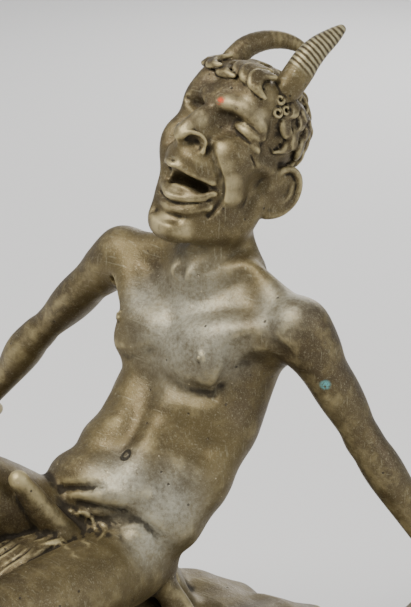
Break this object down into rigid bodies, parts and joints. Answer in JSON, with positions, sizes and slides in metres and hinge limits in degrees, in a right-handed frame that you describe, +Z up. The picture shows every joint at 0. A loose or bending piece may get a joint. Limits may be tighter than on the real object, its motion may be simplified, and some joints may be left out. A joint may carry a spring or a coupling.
{
  "type": "faun statue",
  "caption": "Bronze statuette of a laughing horned faun leaning back on a rock, on a low rectangular stone plinth",
  "frame": {"origin": "on the plane the plinth stands on, at the middle of the plinth", "axes": "+Z up, -Y the way the faun faces, +X to the faun's left"},
  "size_m": [0.25, 0.236, 0.2716],
  "materials": {
    "bronze": "satin brown patina, rubbed golden on the high places",
    "marble": "polished black marble"
  },
  "bodies": {
    "root": {"faun": "bronze", "plinth": "marble"}
  },
  "joints": []
}
